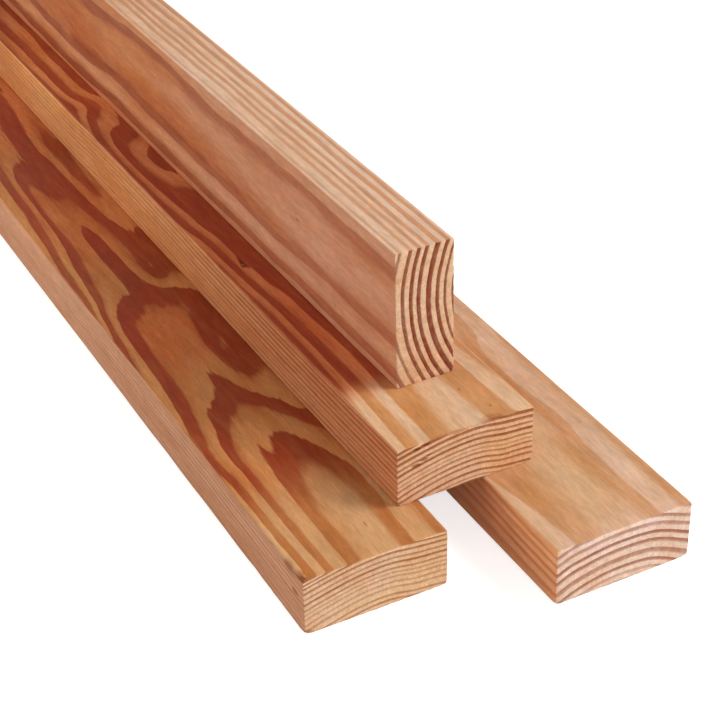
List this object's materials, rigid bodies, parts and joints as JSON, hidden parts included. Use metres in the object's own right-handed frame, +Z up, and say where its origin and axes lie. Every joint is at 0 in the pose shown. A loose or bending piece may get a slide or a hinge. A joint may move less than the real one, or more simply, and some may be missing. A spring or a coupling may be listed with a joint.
{
  "type": "pack of cedar rails",
  "caption": "Loose stack of sawn softwood rails: two flat on the ground with a gap, one flat across the gap, one standing on edge on top.",
  "frame": {"origin": "bottom centre of the pack's box, on the floor under the gap between the base rails", "axes": "+Z up, +Y along the rails towards their back ends, so the staggered front ends face -Y, +X across the pack towards the right base rail"},
  "size_m": [0.2264, 2.5694, 0.165],
  "materials": {
    "cedar_wood": "planed red-brown stained softwood with rough sawn ends"
  },
  "bodies": {
    "root": {"base_rail_left": "cedar_wood", "base_rail_right": "cedar_wood", "middle_rail": "cedar_wood", "top_rail": "cedar_wood"}
  },
  "joints": []
}
